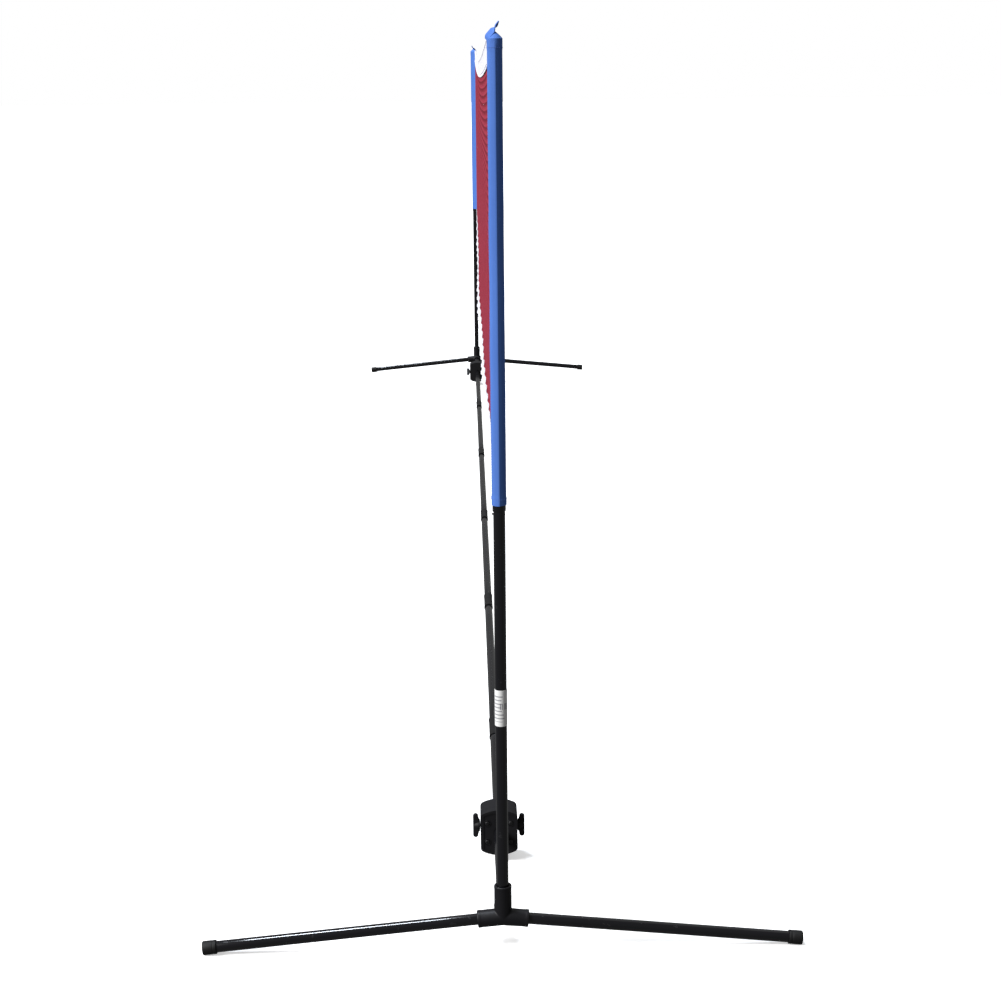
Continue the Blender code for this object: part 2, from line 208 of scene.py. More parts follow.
def clothFinish(name, deep, light, sheen):
    # coated polyester: plain weave, long soft changes of tone, and painted shade darkening the dips between
    # threads
    made = Finish(name, Sheen_Weight=sheen, Sheen_Roughness=0.4, Specular_IOR_Level=0.22)
    across, along = made.cloth()
    threads = weave(made, finishSizes["weavePitch"], across, along)
    cloud = made.speckle(9, 5, (1, 1, 0.5))
    mottle = made.speckle(320, 3)
    made.bump(threads * 0.7 + mottle * 0.5, 0.30, 0.0004)
    return made.show(
        # painted shade: the weave term darkens the dips between threads
        Base_Color=made.blended((cloud * 0.75 + threads * 0.15 + mottle * 0.15).held(), deep, light),
        Roughness=mottle * 0.2 + 0.62)


def webFinish():
    # white woven tape: ribs across it, painted lilac shade in soft patches and in the troughs between ribs,
    # and handling marks
    made = Finish("white_tape_web", Sheen_Weight=0.25, Specular_IOR_Level=0.25)
    across, along = made.cloth()
    ribs = (along * (2 * math.pi / finishSizes["webPitch"])).wave() * 0.5 + 0.5
    threads = weave(made, finishSizes["weavePitch"], across, along)
    cloud = made.speckle(7, 5)
    marks = (made.speckle(55, 4) - 0.60).held() * 1.5
    made.bump(ribs * 0.6 + threads * 0.5, 0.35, 0.0005)
    # painted shade: the white turns lilac in soft patches and in the troughs between the ribs
    shadedWhite = made.blended((cloud * 0.8 + ribs * 0.1).held(), finishSizes["whiteShade"], finishSizes["white"])
    return made.show(
        Base_Color=made.blended(marks.held(), shadedWhite, tone(0.60, 0.57, 0.58)), Roughness=ribs * 0.1 + 0.72)


def twineFinish():
    # twisted polyethylene twine: diagonal lay, shade that changes from strand to strand
    made = Finish("maroon_twine", Sheen_Weight=0.04, Specular_IOR_Level=0.22)
    lay = made.node("ShaderNodeTexWave", {"bands_direction": "DIAGONAL"}, {
        "Vector": made.place(), "Scale": 420, "Distortion": 1.5, "Detail": 1.0})
    cloud = made.speckle(14, 5)
    strand = made.speckle(260, 3)
    made.bump(lay, 0.5, 0.0005)
    return made.show(
        Base_Color=made.blended(
            (cloud * 0.7 + strand * 0.5 - 0.1).held(), finishSizes["maroon"], finishSizes["maroonLight"]),
        Roughness=strand * 0.2 + 0.50)


def threadFinish(name, color, shade):
    made = Finish(name, Sheen_Weight=0.3)
    lay = made.speckle(1400, 2)
    made.bump(lay, 0.4, 0.0002)
    return made.show(Base_Color=made.blended(lay, shade, color), Roughness=lay * 0.2 + 0.6)


def labelFinish():
    # paper label with plain grey rules of several lengths, and one block of bars
    made = Finish("label_paper", Specular_IOR_Level=0.45, Coat_Weight=0.25, Coat_Roughness=0.3)
    across, along = made.cloth()
    rows = (along * (2 * math.pi / 0.0064)).wave() > 0.45
    ragged = made.speckle(40, 1, (0.1, 0.1, 1.0)) * 0.030 + 0.004
    printed = rows * (across < ragged) * (across > 0.003) * (along > 0.008) * (along < 0.058)
    bars = (made.speckle(330, 0, (1, 1, 0.0)) > 0.5) * (along > 0.030) * (along < 0.041)
    bars = bars * (across > 0.012) * (across < 0.030)
    fibre = made.speckle(600, 3)
    made.bump(fibre, 0.15, 0.0002)
    return made.show(
        Base_Color=made.blended(
            ((printed + bars) * 0.75).held(), tone(0.83, 0.83, 0.82), tone(0.20, 0.20, 0.23)),
        Roughness=fibre * 0.15 + 0.42)


finishes = {
    "tube": tubeFinish(),
    "tee": plasticFinish("tee_plastic", finishSizes["plasticBlack"], finishSizes["plasticPale"], 950, 0.34),
    "clamp": plasticFinish(
        "clamp_plastic", finishSizes["plasticBlack"], finishSizes["plasticPale"], 620, 0.50),
    "cap": plasticFinish("cap_plastic", finishSizes["capBlack"], finishSizes["plasticPale"], 800, 0.46),
    "steel": steelFinish(),
    "screw": screwFinish(),
    "blue": clothFinish("blue_sleeve_cloth", finishSizes["blueDeep"], finishSizes["blueLight"], 0.02),
    "white": webFinish(),
    "twine": twineFinish(),
    "whiteThread": threadFinish("white_thread", tone(0.85, 0.85, 0.87), tone(0.60, 0.60, 0.64)),
    "blueThread": threadFinish("blue_thread", tone(0.09, 0.20, 0.62), tone(0.03, 0.07, 0.28)),
    "label": labelFinish(),
}
print("finishes made")


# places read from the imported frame

def middleOf(node):
    low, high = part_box(node)
    return (low + high) / 2


def edgesOf(node):
    # the (y, lowest, highest) of each upright section through an upright band
    sections = {}
    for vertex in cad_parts[node].data.vertices:
        sections.setdefault(round(vertex.co.y, 4), []).append(vertex.co.z)
    return [(y, min(heights), max(heights)) for y, heights in sorted(sections.items())]


def readAt(sections, y, column):
    for before, after in zip(sections, sections[1:]):
        if y <= after[0]:
            break
    share = (y - before[0]) / (after[0] - before[0])
    return before[column] + (after[column] - before[column]) * share


def slopeOf(node, radius):
    # the downward slope of a leg, from its box
    low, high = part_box(node)
    slope = 0.0
    for _ in range(8):
        length = (high.x - low.x - 2 * radius * math.sin(slope)) / math.cos(slope)
        slope = math.asin((high.z - low.z - 2 * radius * math.cos(slope)) / length)
    return slope, length


uprightY = middleOf("lower_pole_far").y
poleLow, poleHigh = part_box("lower_pole_near")
tubeRadius = (poleHigh.x - poleLow.x) / 2
barHeight = middleOf("crossbar_tube_3").z
legSlope, legLength = slopeOf("leg_right_near", tubeRadius)
endTurns = {"near": 0.0, "far": math.pi}
tubeSizes = {"wall": 0.0011, "upperWall": 0.0009, "steps": 64}


def endPlace(end):
    # from an end's own frame, which faces its net along +Y, to the world
    side = -uprightY if end == "near" else uprightY
    return Matrix.Translation((0, side, 0)) @ Matrix.Rotation(endTurns[end], 4, "Z")


def ownBox(node, end):
    # a node's box in its end's own frame
    back = endPlace(end).inverted()
    corners = [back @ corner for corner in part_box(node)]
    return Vector(map(min, *corners)), Vector(map(max, *corners))


def alongAxis(axis, middle):
    # turns +Z onto an axis, then moves to a place
    return Matrix.Translation(middle) @ Vector(axis).to_track_quat("Z", "Y").to_matrix().to_4x4()


# mesh tools

def filleted(points, closed=False, steps=3):
    # rounds each (x, y, radius) corner of an outline
    found = []
    count = len(points)
    for i, (x, y, radius) in enumerate(points):
        here = Vector((x, y))
        if radius == 0 or (not closed and i in (0, count - 1)):
            found.append((x, y))
            continue
        before = Vector(points[i - 1][:2]) - here
        after = Vector(points[(i + 1) % count][:2]) - here
        reach = min(radius / math.tan(before.angle(after) / 2), before.length * 0.45, after.length * 0.45)
        start = here + before.normalized() * reach
        end = here + after.normalized() * reach
        for k in range(steps + 1):
            t = k / steps
            found.append(tuple(start * (1 - t) ** 2 + here * 2 * t * (1 - t) + end * t * t))
    return found


def spun(profile, steps=64, closed=False):
    # turns (radius, height) points once round Z
    shape = bmesh.new()
    points = [shape.verts.new((radius, 0, height)) for radius, height in profile]
    pairs = list(zip(points, points[1:])) + ([(points[-1], points[0])] if closed else [])
    edges = [shape.edges.new(pair) for pair in pairs]
    bmesh.ops.spin(shape, geom=points + edges, axis=(0, 0, 1), cent=(0, 0, 0), angle=2 * math.pi,
                   steps=steps, use_merge=True)
    bmesh.ops.remove_doubles(shape, verts=shape.verts, dist=1e-6)
    bmesh.ops.recalc_face_normals(shape, faces=shape.faces)
    return shape


def tubeShape(outer, wall, low, high, steps=48, rings=1, lip=0.0004):
    # a straight tube with rounded lips
    inner = outer - wall
    lows = [(inner, low, lip), (outer, low, lip)]
    middles = [(outer, low + (high - low) * i / rings, 0) for i in range(1, rings)]
    return spun(filleted(lows + middles + [(outer, high, lip), (inner, high, lip)], True, 2), steps, True)


def slab(outline, low, high):
    # a flat outline in X and Y, extruded along Z
    shape = bmesh.new()
    face = shape.faces.new([shape.verts.new((x, y, low)) for x, y in outline])
    raised = [v for v in bmesh.ops.extrude_face_region(shape, geom=[face])["geom"]
              if isinstance(v, bmesh.types.BMVert)]
    bmesh.ops.translate(shape, verts=raised, vec=(0, 0, high - low))
    bmesh.ops.recalc_face_normals(shape, faces=shape.faces)
    return shape


def softened(shape, width, segments=3, keep=None):
    # bevels the sharp edges, or those that keep picks
    sharp = [edge for edge in shape.edges if len(edge.link_faces) == 2 and (
        keep(edge) if keep else edge.calc_face_angle() > math.radians(40))]
    bmesh.ops.bevel(shape, geom=sharp, offset=width, offset_type="OFFSET", affect="EDGES", segments=segments,
                    profile=0.5, material=-1, clamp_overlap=True)
    return shape


def added(shape, other, place=Matrix.Identity(4)):
    # joins another bmesh into this one
    other.transform(place)
    carrier = bpy.data.meshes.new("carrier")
    other.to_mesh(carrier)
    other.free()
    shape.from_mesh(carrier)
    bpy.data.meshes.remove(carrier)
    return shape


def rawObject(name, shape):
    data = bpy.data.meshes.new(name)
    shape.to_mesh(data)
    shape.free()
    made = bpy.data.objects.new(name, data)
    bpy.context.scene.collection.objects.link(made)
    return made


def afterModifiers(holder):
    # the holder's mesh with its modifiers applied, as a bmesh; the holder goes
    bpy.context.view_layer.update()
    shape = bmesh.new()
    shape.from_object(holder, bpy.context.evaluated_depsgraph_get())
    data = holder.data
    bpy.data.objects.remove(holder)
    bpy.data.meshes.remove(data)
    return shape


def carved(shape, cutter):
    # cuts one closed bmesh out of another
    holder = rawObject("holder", shape)
    tool = rawObject("tool", cutter)
    change = holder.modifiers.new("cut", "BOOLEAN")
    change.operation = "DIFFERENCE"
    change.solver = "EXACT"
    change.object = tool
    result = afterModifiers(holder)
    bpy.data.objects.remove(tool)
    return result


def moulded(shape, voxel, passes):
    # fuses overlapping bodies into one skin with soft moulded corners
    holder = rawObject("holder", shape)
    change = holder.modifiers.new("fuse", "REMESH")
    change.mode = "VOXEL"
    change.voxel_size = voxel
    result = afterModifiers(holder)
    for _ in range(passes):
        bmesh.ops.smooth_vert(result, verts=result.verts, factor=0.5, use_axis_x=True, use_axis_y=True,
                              use_axis_z=True)
    return result


def finished(name, shape, finish, body, place=None, stands=(), sharpAngle=35, cloth=False):
    # a finished piece: its place goes into the mesh, and its object stays at the origin
    if place is not None:
        shape.transform(place)
    if not cloth:
        bmesh.ops.recalc_face_normals(shape, faces=shape.faces)
    piece = rawObject(name, shape)
    piece.data.shade_smooth()
    piece.data.set_sharp_from_angle(angle=math.radians(sharpAngle))
    piece.data.materials.clear()
    piece.data.materials.append(finishes[finish])
    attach(piece, body)
    if stands:
        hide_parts(*stands)
    return piece


# tees, legs and foot caps

teeSizes = {
    "wallRoom": 0.0005,      # between a socket and its tube
    "rim": 0.0009,           # rounding of a socket's mouth
    "draft": 0.0003,         # how much thinner an arm is at its mouth
    "bead": 0.0003,          # height of the ring round each mouth
    "beadLength": 0.0050,
    "core": 0.0145,          # solid middle
    "voxel": 0.00065,
}
legSizes = {
    "capLip": 0.0007, "capGroove": 0.0005,
    "capCover": 0.0207,      # how far a cap reaches back over its leg
}


def socketArm(radius, reach, bore):
    # a cup on Z: solid at its foot, open at its mouth, with a ring round the mouth
    size = teeSizes
    ringed = radius + size["bead"] - size["draft"]
    start = reach - size["beadLength"]
    points = [
        (0, -radius * 0.2, 0), (radius, -radius * 0.2, 0.003),
        (radius - size["draft"], start - 0.0012, 0.001),
        (ringed, start, 0.001), (ringed, reach, size["rim"]), (bore + 0.0009, reach, size["rim"] * 0.6),
        (bore, reach - 0.0016, 0.0005), (bore, size["core"], 0), (0, size["core"], 0),
    ]
    return spun(filleted(points), 96)


def makeTee(end):
    low, high = ownBox(f"base_tee_{end}", end)
    radius = -low.y - teeSizes["bead"] + teeSizes["draft"]
    bore = tubeRadius + teeSizes["wallRoom"]
    middle = (0, 0, barHeight)
    shape = spun([(0, -radius * 0.9), (radius * 0.5, -radius * 0.8), (radius * 0.9, 0), (0, radius)], 48)
    shape.transform(Matrix.Translation(middle))
    slopes = [(-math.cos(legSlope), 0, -math.sin(legSlope)), (math.cos(legSlope), 0, -math.sin(legSlope))]
    armReach = (high.x - radius * math.sin(legSlope)) / math.cos(legSlope)
    for axis, reach in ((slopes[0], armReach), (slopes[1], armReach), ((0, 1, 0), high.y),
                        ((0, 0, 1), high.z - barHeight)):
        added(shape, socketArm(radius, reach, bore), alongAxis(axis, middle))
    finished(f"tee_{end}", moulded(shape, teeSizes["voxel"], 4), "tee", "base_frame", endPlace(end),
             [f"base_tee_{end}"], 60)
    for word, axis in zip(("left", "right"), slopes):
        makeLeg(end, word, axis)


def makeLeg(end, word, axis):
    size = legSizes
    legLow, legHigh = ownBox(f"leg_{word}_{end}", end)
    capLow, capHigh = ownBox(f"foot_cap_{word}_{end}", end)
    farX = max(abs(capLow.x), abs(capHigh.x))
    capRadius = capHigh.y
    nearX = min(abs(legLow.x), abs(legHigh.x))
    start = (nearX + tubeRadius * math.sin(legSlope)) / math.cos(legSlope)
    tip = start + legLength
    place = endPlace(end) @ alongAxis(axis, (0, 0, barHeight))
    leg = tubeShape(tubeRadius, tubeSizes["wall"], start, tip, tubeSizes["steps"], 6)
    finished(f"{word}_leg_{end}", leg, "tube", "base_frame", place, [f"leg_{word}_{end}"])
    capEnd = (farX - capRadius * math.sin(legSlope)) / math.cos(legSlope) + 0.0004
    mouth = tip - size["capCover"]
    bore = tubeRadius + 0.0002
    groove = mouth + 0.0050
    points = [
        (0, tip + 0.0003, 0), (bore, tip + 0.0003, 0), (bore, mouth, size["capLip"] * 0.5),
        (capRadius, mouth, size["capLip"]), (capRadius, groove, 0.0003),
        (capRadius - size["capGroove"], groove + 0.0006, 0.0003),
        (capRadius - size["capGroove"], groove + 0.0014, 0.0003), (capRadius, groove + 0.0020, 0.0003),
        (capRadius, capEnd, 0.0022), (capRadius * 0.52, capEnd, 0.0006),
        (capRadius * 0.50, capEnd - 0.0006, 0.0004), (0, capEnd - 0.0006, 0),
    ]
    cap = spun(filleted(points), 64)
    cap.transform(place)
    cut = bmesh.ops.bisect_plane(cap, geom=cap.verts[:] + cap.edges[:] + cap.faces[:], plane_co=(0, 0, 0),
                                 plane_no=(0, 0, -1), clear_outer=True)
    rim = [item for item in cut["geom_cut"] if isinstance(item, bmesh.types.BMEdge)]
    if rim:
        bmesh.ops.contextual_create(cap, geom=rim)
    finished(f"{word}_foot_cap_{end}", cap, "cap", "base_frame", None, [f"foot_cap_{word}_{end}"])


for end in endTurns:
    makeTee(end)
print("tees, legs and foot caps made")


# ground bar

barSizes = {"lip": 0.0005, "bead": 0.0007, "beadLength": 0.0040, "waist": 0.0003}


def makeBar():
    tubes = [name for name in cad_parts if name.startswith("crossbar_tube")]
    for name in tubes + ["stub_tube_near", "stub_tube_far"]:
        low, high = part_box(name)
        shape = tubeShape(tubeRadius, tubeSizes["wall"], low.y, high.y, tubeSizes["steps"], 6)
        finished(name.replace("crossbar", "bar") + "_painted", shape, "tube", "base_frame",
                 alongAxis((0, 1, 0), (0, 0, barHeight)), [name])
    for name in [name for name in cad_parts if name.startswith("crossbar_coupler")]:
        low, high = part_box(name)
        size = barSizes
        outer = (high.x - low.x) / 2
        bore = tubeRadius + 0.0003
        half = (high.y - low.y) / 2
        ringed = outer + size["bead"] * 0.5
        body = outer - 0.0002
        beadEnd = size["beadLength"] - half
        points = [(bore, -half, size["lip"]), (ringed, -half, size["lip"]), (ringed, beadEnd, 0.0005),
                  (body, beadEnd + 0.001, 0.0005), (body, -0.006, 0.001),
                  (body - size["waist"], -0.004, 0.001)]
        points += [(r, -h, f) for r, h, f in reversed(points)]
        finished(name.replace("crossbar_", "") + "_moulded", spun(filleted(points, True), 64, True), "cap",
                 "base_frame", alongAxis((0, 1, 0), (0, middleOf(name).y, barHeight)), [name])


makeBar()
print("ground bar made")


# clamps

clampSizes = {
    "crown": 0.010,
    "corner": 0.0050,
    "edge": 0.0014,
    "screwSeat": 0.0056,      # radius of the sunk seat round each screw
    "panelInset": 0.0060,
    "panelDeep": 0.0009,
    "screwHead": 0.0045,
    "knobVoxel": 0.00045,
    "knobTip": 0.0052,
    "knobThick": 0.0070,
    "knobTurns": {"left_near": 0, "right_near": 8, "left_far": 0, "right_far": 60},
}


def arcPoints(middle, radius, start, end, steps):
    turns = [math.radians(start + (end - start) * i / steps) for i in range(steps + 1)]
    return [(middle[0] + radius * math.cos(t), middle[1] + radius * math.sin(t)) for t in turns]


def clampOutline(halfWide, halfHigh, inset=0.0):
    crown = clampSizes["crown"]
    radius = (halfWide ** 2 + crown ** 2) / (2 * crown)
    opening = math.degrees(math.asin((halfWide - inset) / radius))
    top = arcPoints((0, halfHigh - inset - radius), radius, 90 - opening, 90 + opening, 16)
    return top + [(-x, -z) for x, z in top]


def clampHalf(name, end, panel):
    # both ends are cut from the near end's sizes, so that they come out alike
    low, high = ownBox(name.replace("_far", "_near"), "near")
    halfWide = high.x
    halfHigh = (high.z - low.z) / 2
    depth = high.y - low.y
    shape = slab(clampOutline(halfWide, halfHigh), 0, depth)
    softened(shape, clampSizes["corner"], 6, lambda edge: (
        abs(abs(edge.verts[0].co.x) - halfWide) < 1e-5
        and abs(edge.verts[0].co.z - edge.verts[1].co.z) > depth * 0.9))
    softened(shape, clampSizes["edge"], 3, lambda edge: edge.calc_face_angle() > math.radians(70))
    if panel:
        deep = clampSizes["panelDeep"]
        sunk = slab(clampOutline(halfWide, halfHigh, clampSizes["panelInset"]), depth - deep, depth + 0.01)
        shape = carved(shape, softened(sunk, 0.0035, 4, lambda edge: abs(
            edge.verts[0].co.z - edge.verts[1].co.z) > 0.009))
        inner = clampSizes["screwSeat"]
        outer = inner + 0.0014
        for x, z in screwPlaces():
            seat = spun(filleted([
                (0, depth - deep - 0.0002, 0), (outer, depth - deep - 0.0002, 0),
                (outer, depth - 0.0002, 0.0006), (inner, depth - 0.0002, 0.0004),
                (inner, depth - deep, 0.0002), (0, depth - deep, 0)]), 40)
            seat.transform(Matrix.Translation((-x, z, 0)))
            added(shape, seat)
    radius = tubeRadius + 0.0004
    bore = spun([(0, -0.01), (radius, -0.01), (radius, depth + 0.01), (0, depth + 0.01)], 64)
    shape = carved(shape, bore)
    # local +Z of the slab looks away from the net
    turn = Matrix.Translation((0, high.y, barHeight)) @ Matrix.Rotation(math.pi / 2, 4, "X")
    finished(f"{name}_moulded", shape, "clamp", "base_frame", endPlace(end) @ turn, [name], 32)


def screwPlaces():
    # (x, height above the bar) of the near end's four cover screws, in its own frame
    found = []
    for number in range(1, 5):
        low, high = ownBox(f"cover_screw_{number}_near", "near")
        middle = (low + high) / 2
        found.append((middle.x, middle.z - barHeight))
    return found


def makeScrew(end, number):
    name = f"cover_screw_{number}_{end}"
    low, high = ownBox(name, end)
    head = clampSizes["screwHead"]
    points = [(0, -0.006, 0), (0.0016, -0.006, 0), (0.0016, 0, 0), (head, 0, 0.0002), (head, 0.0008, 0.0006),
              (head * 0.6, 0.0017, 0.002), (0, 0.0019, 0)]
    shape = spun(filleted(points), 40)
    for turn in (0.25, 0.25 + math.pi / 2):
        blade = bmesh.new()
        bmesh.ops.create_cube(blade, size=1.0)
        bmesh.ops.scale(blade, vec=(0.0052, 0.0009, 0.0022), verts=blade.verts)
        blade.transform(Matrix.Translation((0, 0, 0.0021)) @ Matrix.Rotation(turn + number, 4, "Z"))
        shape = carved(shape, blade)
    middle = (low + high) / 2
    seat = ownBox(f"clamp_cover_{end}", end)[0].y + clampSizes["panelDeep"]
    place = endPlace(end) @ alongAxis((0, -1, 0), (middle.x, seat, middle.z))
    finished(f"{name}_plated", shape, "screw", "base_frame", place, [name])


def makeKnob(end, word, sign):
    name = f"wing_screw_{word}_{end}"
    low, high = ownBox(name, end)
    middle = (low + high) / 2
    side = ownBox(f"clamp_body_{end}", end)[1].x
    reach = max(abs(low.x), abs(high.x)) - side
    half = clampSizes["knobHalf"]
    tip = clampSizes["knobTip"]
    outline = arcPoints((side + reach - tip, half - tip), tip, 0, 190, 12)
    outline += [(side + 0.0028, 0.0128), (side + 0.0008, 0.0118)]
    outline += [(x, -y) for x, y in reversed(outline)]
    blade = slab(outline, -clampSizes["knobThick"] / 2, clampSizes["knobThick"] / 2)
    softened(blade, 0.0018, 3, lambda edge: edge.calc_face_angle() > math.radians(60))
    # the outline's X runs out along the screw, and its Y across it
    blade.transform(Matrix(((0, -1, 0, 0), (0, 0, 1, 0), (1, 0, 0, 0), (0, 0, 0, 1))))
    turn = math.radians(clampSizes["knobTurns"][f"{word}_{end}"])
    blade.transform(Matrix.Rotation(turn, 4, "Z"))
    collar = spun(filleted([
        (0, tubeRadius + 0.002, 0), (0.0030, tubeRadius + 0.002, 0), (0.0030, side + 0.0003, 0.0003),
        (0.0075, side + 0.0003, 0.0006), (0.0075, side + 0.0050, 0.0010), (0.0060, side + 0.0092, 0.002),
        (0.0040, side + 0.0125, 0.002), (0, side + 0.0125, 0)]), 64)
    added(blade, collar)
    shape = moulded(blade, clampSizes["knobVoxel"], 3)
    # the same way up as the joint's own axis: +Z of the screw turned about Y
    flip = Matrix.Translation((0, middle.y, barHeight)) @ Matrix.Rotation(sign * math.pi / 2, 4, "Y")
    finished(f"{word}_knob_{end}", shape, "clamp", name, endPlace(end) @ flip, [name], 60)


clampSizes["knobHalf"] = ownBox("wing_screw_left_near", "near")[1].z - barHeight
for end in endTurns:
    clampHalf(f"clamp_cover_{end}", end, True)
    clampHalf(f"clamp_body_{end}", end, False)
    for number in range(1, 5):
        makeScrew(end, number)
    for word, sign in (("left", -1), ("right", 1)):
        makeKnob(end, word, sign)
print("clamps made")


# uprights

poleSizes = {"holeRoom": 0.0002, "button": 0.0036}


def makePoles(end):
    low, high = ownBox(f"lower_pole_{end}", end)
    buttonLow, buttonHigh = ownBox(f"snap_button_{end}", end)
    button = (buttonLow + buttonHigh) / 2
    size = poleSizes
    lower = tubeShape(tubeRadius, tubeSizes["wall"], low.z, high.z, tubeSizes["steps"], 12)
    wide = size["button"] + size["holeRoom"]
    hole = spun([(0, 0), (wide, 0), (wide, 0.02), (0, 0.02)], 32)
    hole.transform(alongAxis((-1, 0, 0), (0, 0, button.z)))
    finished(f"lower_upright_{end}", carved(lower, hole), "tube", "base_frame", endPlace(end),
             [f"lower_pole_{end}"])
    low, high = ownBox(f"upper_pole_{end}", end)
    upper = tubeShape(high.x, tubeSizes["upperWall"], low.z, high.z, tubeSizes["steps"], 10)
    finished(f"upper_upright_{end}", upper, "tube", "net_and_upper_poles", endPlace(end),
             [f"upper_pole_{end}"])
    inner, outer = tubeRadius - 0.0055, -buttonLow.x
    radius = size["button"]
    points = [(0, inner, 0), (radius, inner, 0.0002), (radius, tubeRadius + 0.0006, 0.0008),
              (radius * 0.75, outer - 0.0006, 0.0012), (radius * 0.3, outer, 0.001), (0, outer, 0)]
    finished(f"spring_button_{end}", spun(filleted(points), 48), "steel", f"snap_button_{end}",
             endPlace(end) @ alongAxis((-1, 0, 0), (0, 0, button.z)), [f"snap_button_{end}"])


for end in endTurns:
    makePoles(end)
print("uprights made")


# cloth tools

def clothGrid(columns, rows, place, flat, closed=False):
    # a sheet of quads: place(i, j) is in space, flat(i, j) on the cut cloth
    shape = bmesh.new()
    layer = shape.loops.layers.uv.new("cloth")
    lines = columns if closed else columns + 1
    grid = [[shape.verts.new(place(i, j)) for j in range(rows + 1)] for i in range(lines)]
    for i in range(columns):
        after = (i + 1) % columns if closed else i + 1
        for j in range(rows):
            face = shape.faces.new((grid[i][j], grid[after][j], grid[after][j + 1], grid[i][j + 1]))
            corners = ((i, j), (i + 1, j), (i + 1, j + 1), (i, j + 1))
            for loop, (column, row) in zip(face.loops, corners):
                loop[layer].uv = flat(column, row)
    return shape


def thickened(shape, thickness):
    # gives the sheet its thickness, half to each side
    holder = rawObject("holder", shape)
    change = holder.modifiers.new("thick", "SOLIDIFY")
    change.thickness = thickness
    change.offset = 0.0
    return afterModifiers(holder)


def stitch(shape, start, end, up, width):
    # one stitch: a small flat-ended thread, proud of the cloth
    run = end - start
    side = run.cross(up).normalized() * width / 2
    lift = up.normalized() * width * 0.6
    ends = [start, start + run * 0.18 + lift, start + run * 0.82 + lift, end]
    before = None
    for point in ends:
        ring = [shape.verts.new(point + side), shape.verts.new(point + lift), shape.verts.new(point - side)]
        if before:
            for k in range(3):
                shape.faces.new((before[k], before[(k + 1) % 3], ring[(k + 1) % 3], ring[k]))
        else:
            shape.faces.new(ring)
        before = ring
    shape.faces.new(before[::-1])


# sleeves

sleeveSizes = {
    "flatRadius": 0.01165,     # to the flat of each front face
    "ridgeTurn": 30.0,         # half the turn of the pressed crease down the front
    "tail": 0.0342,            # from the upright's axis to the seam
    "tailHalf": 0.0010,
    "seam": 0.0100,            # how far the seam lies to the left of the upright
    "hem": 0.0150,             # band at the top
    "bottomHem": 0.0120,
    "hemProud": 0.0004,
    "thickness": 0.0006,
    "columns": 72,
    "ringSteps": 60,
    "rowPitch": 0.0050,
    "domeRows": 7,
    "shoulderRise": 0.0035,    # from the pole's plug to where the dome starts
    "wrinkle": 0.0007,
    "stitchPitch": 0.0045,
    "stitchWidth": 0.0007,
}


def sleeveRing(ridge):
    # the closed cross-section, from the seam round the pole and back, evenly spaced
    size = sleeveSizes
    turn = math.radians(size["ridgeTurn"])
    seams = [(side * size["tailHalf"] - size["seam"], size["tail"]) for side in (1, -1)]
    starts = [math.atan2(x, y) + side * math.acos(size["flatRadius"] / math.hypot(x, y))
              for (x, y), side in zip(seams, (1, -1))]
    first, last = starts[0] + 0.03, starts[1] + 2 * math.pi - 0.03
    corners = [seams[0]]
    for i in range(size["ringSteps"] + 1):
        angle = first + (last - first) * i / size["ringSteps"]
        off = abs(angle - math.pi)
        peaked = size["flatRadius"] / math.cos(turn - off) if off < turn else size["flatRadius"]
        radius = size["flatRadius"] + (peaked - size["flatRadius"]) * ridge
        corners.append((radius * math.sin(angle), radius * math.cos(angle)))
    corners.append(seams[1])
    lengths = [0.0]
    for a, b in zip(corners, corners[1:]):
        lengths.append(lengths[-1] + math.dist(a, b))
    found = []
    for i in range(size["columns"]):
        want = lengths[-1] * i / (size["columns"] - 1)
        k = max(n for n in range(len(corners) - 1) if lengths[n] <= want + 1e-12)
        share = (want - lengths[k]) / (lengths[k + 1] - lengths[k])
        found.append(tuple(p + (q - p) * share for p, q in zip(corners[k], corners[k + 1])))
    return found, lengths[-1]


